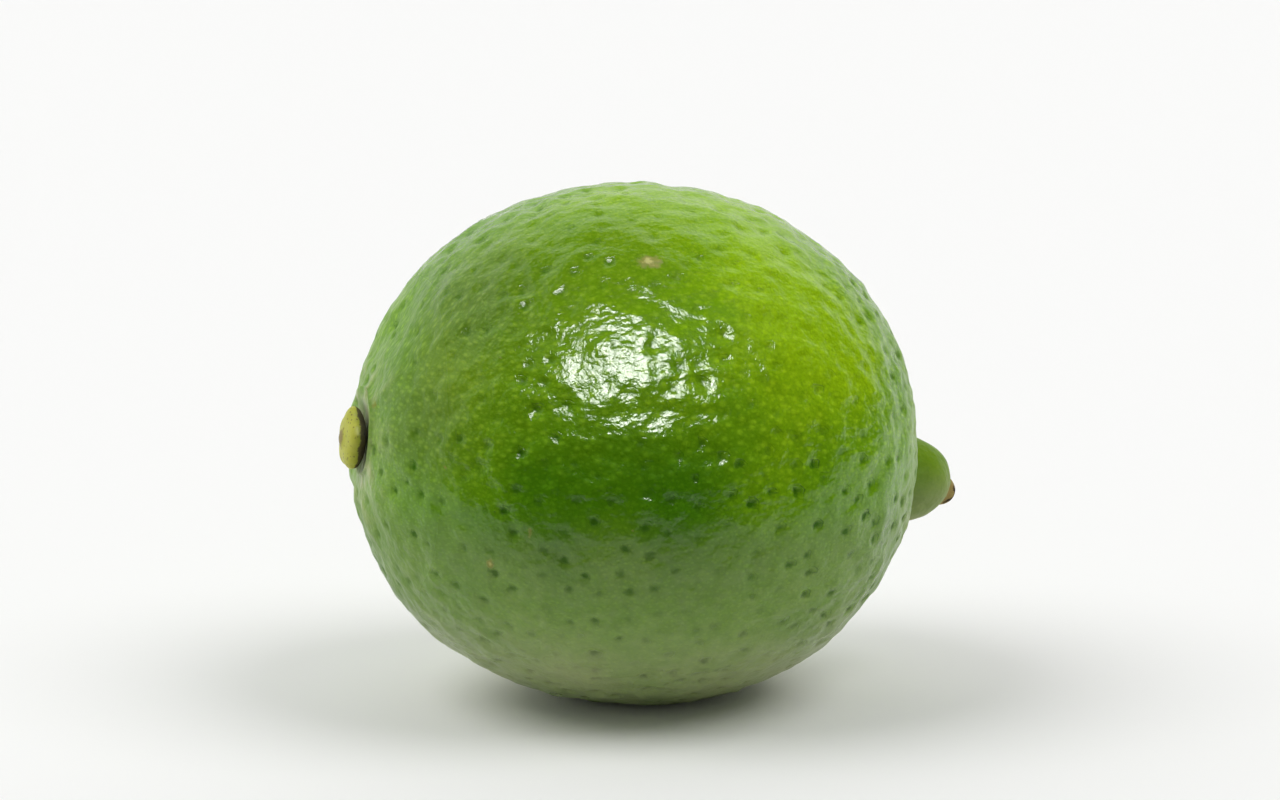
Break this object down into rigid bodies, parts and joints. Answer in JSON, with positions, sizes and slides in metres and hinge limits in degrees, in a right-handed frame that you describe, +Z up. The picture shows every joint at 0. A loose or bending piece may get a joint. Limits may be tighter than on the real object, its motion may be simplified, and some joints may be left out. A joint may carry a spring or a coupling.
{
  "type": "lime",
  "caption": "Whole fresh green lime lying on its side: dimpled waxy rind, a blunt nipple at the blossom end and a dried stem button at the other.",
  "frame": {"origin": "middle of the underside of the object's box, in the surface that the lime rests on", "axes": "+Z up; +X along the fruit's length, from the stem button to the nipple"},
  "size_m": [0.0668, 0.054, 0.0539],
  "materials": {
    "rind": "glossy, pitted, waxy green rind",
    "stem_button": "matte, dry, yellow-green with brown edges"
  },
  "bodies": {
    "root": {"lime_fruit": "rind", "stem_button": "stem_button"}
  },
  "joints": []
}
